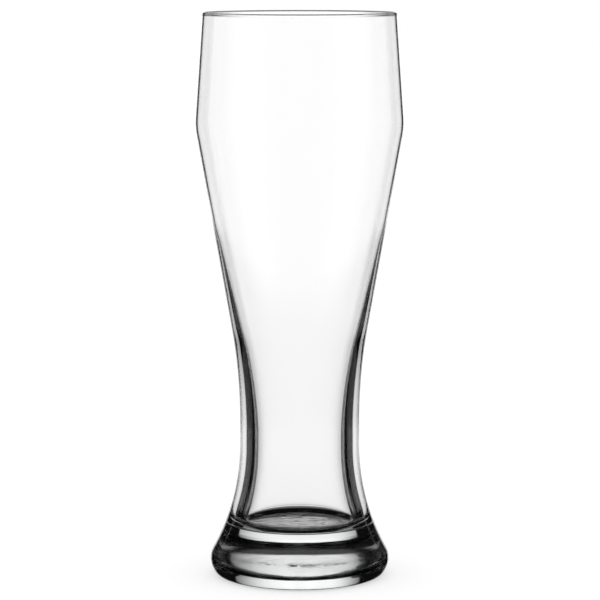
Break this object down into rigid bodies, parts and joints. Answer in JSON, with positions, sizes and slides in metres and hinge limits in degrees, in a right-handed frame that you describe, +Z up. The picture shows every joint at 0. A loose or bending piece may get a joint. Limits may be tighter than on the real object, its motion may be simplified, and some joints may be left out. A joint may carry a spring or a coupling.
{
  "type": "wheat beer glass",
  "caption": "Tall slender glass beer vase: thin flared bowl with a wide belly, narrow waist and a heavy solid foot with a dished seat under the cavity.",
  "frame": {"origin": "middle of the foot at the ground, the lowest point of the glass", "axes": "+Z up along the axis of revolution; the glass is the same all the way round"},
  "size_m": [0.0839, 0.084, 0.2287],
  "materials": {
    "blown_glass": "clear soda-lime glass, fire-polished",
    "pressed_glass": "clear soda-lime glass, pressed and fire-polished"
  },
  "bodies": {
    "root": {"bowl": "blown_glass", "foot": "pressed_glass"}
  },
  "joints": []
}
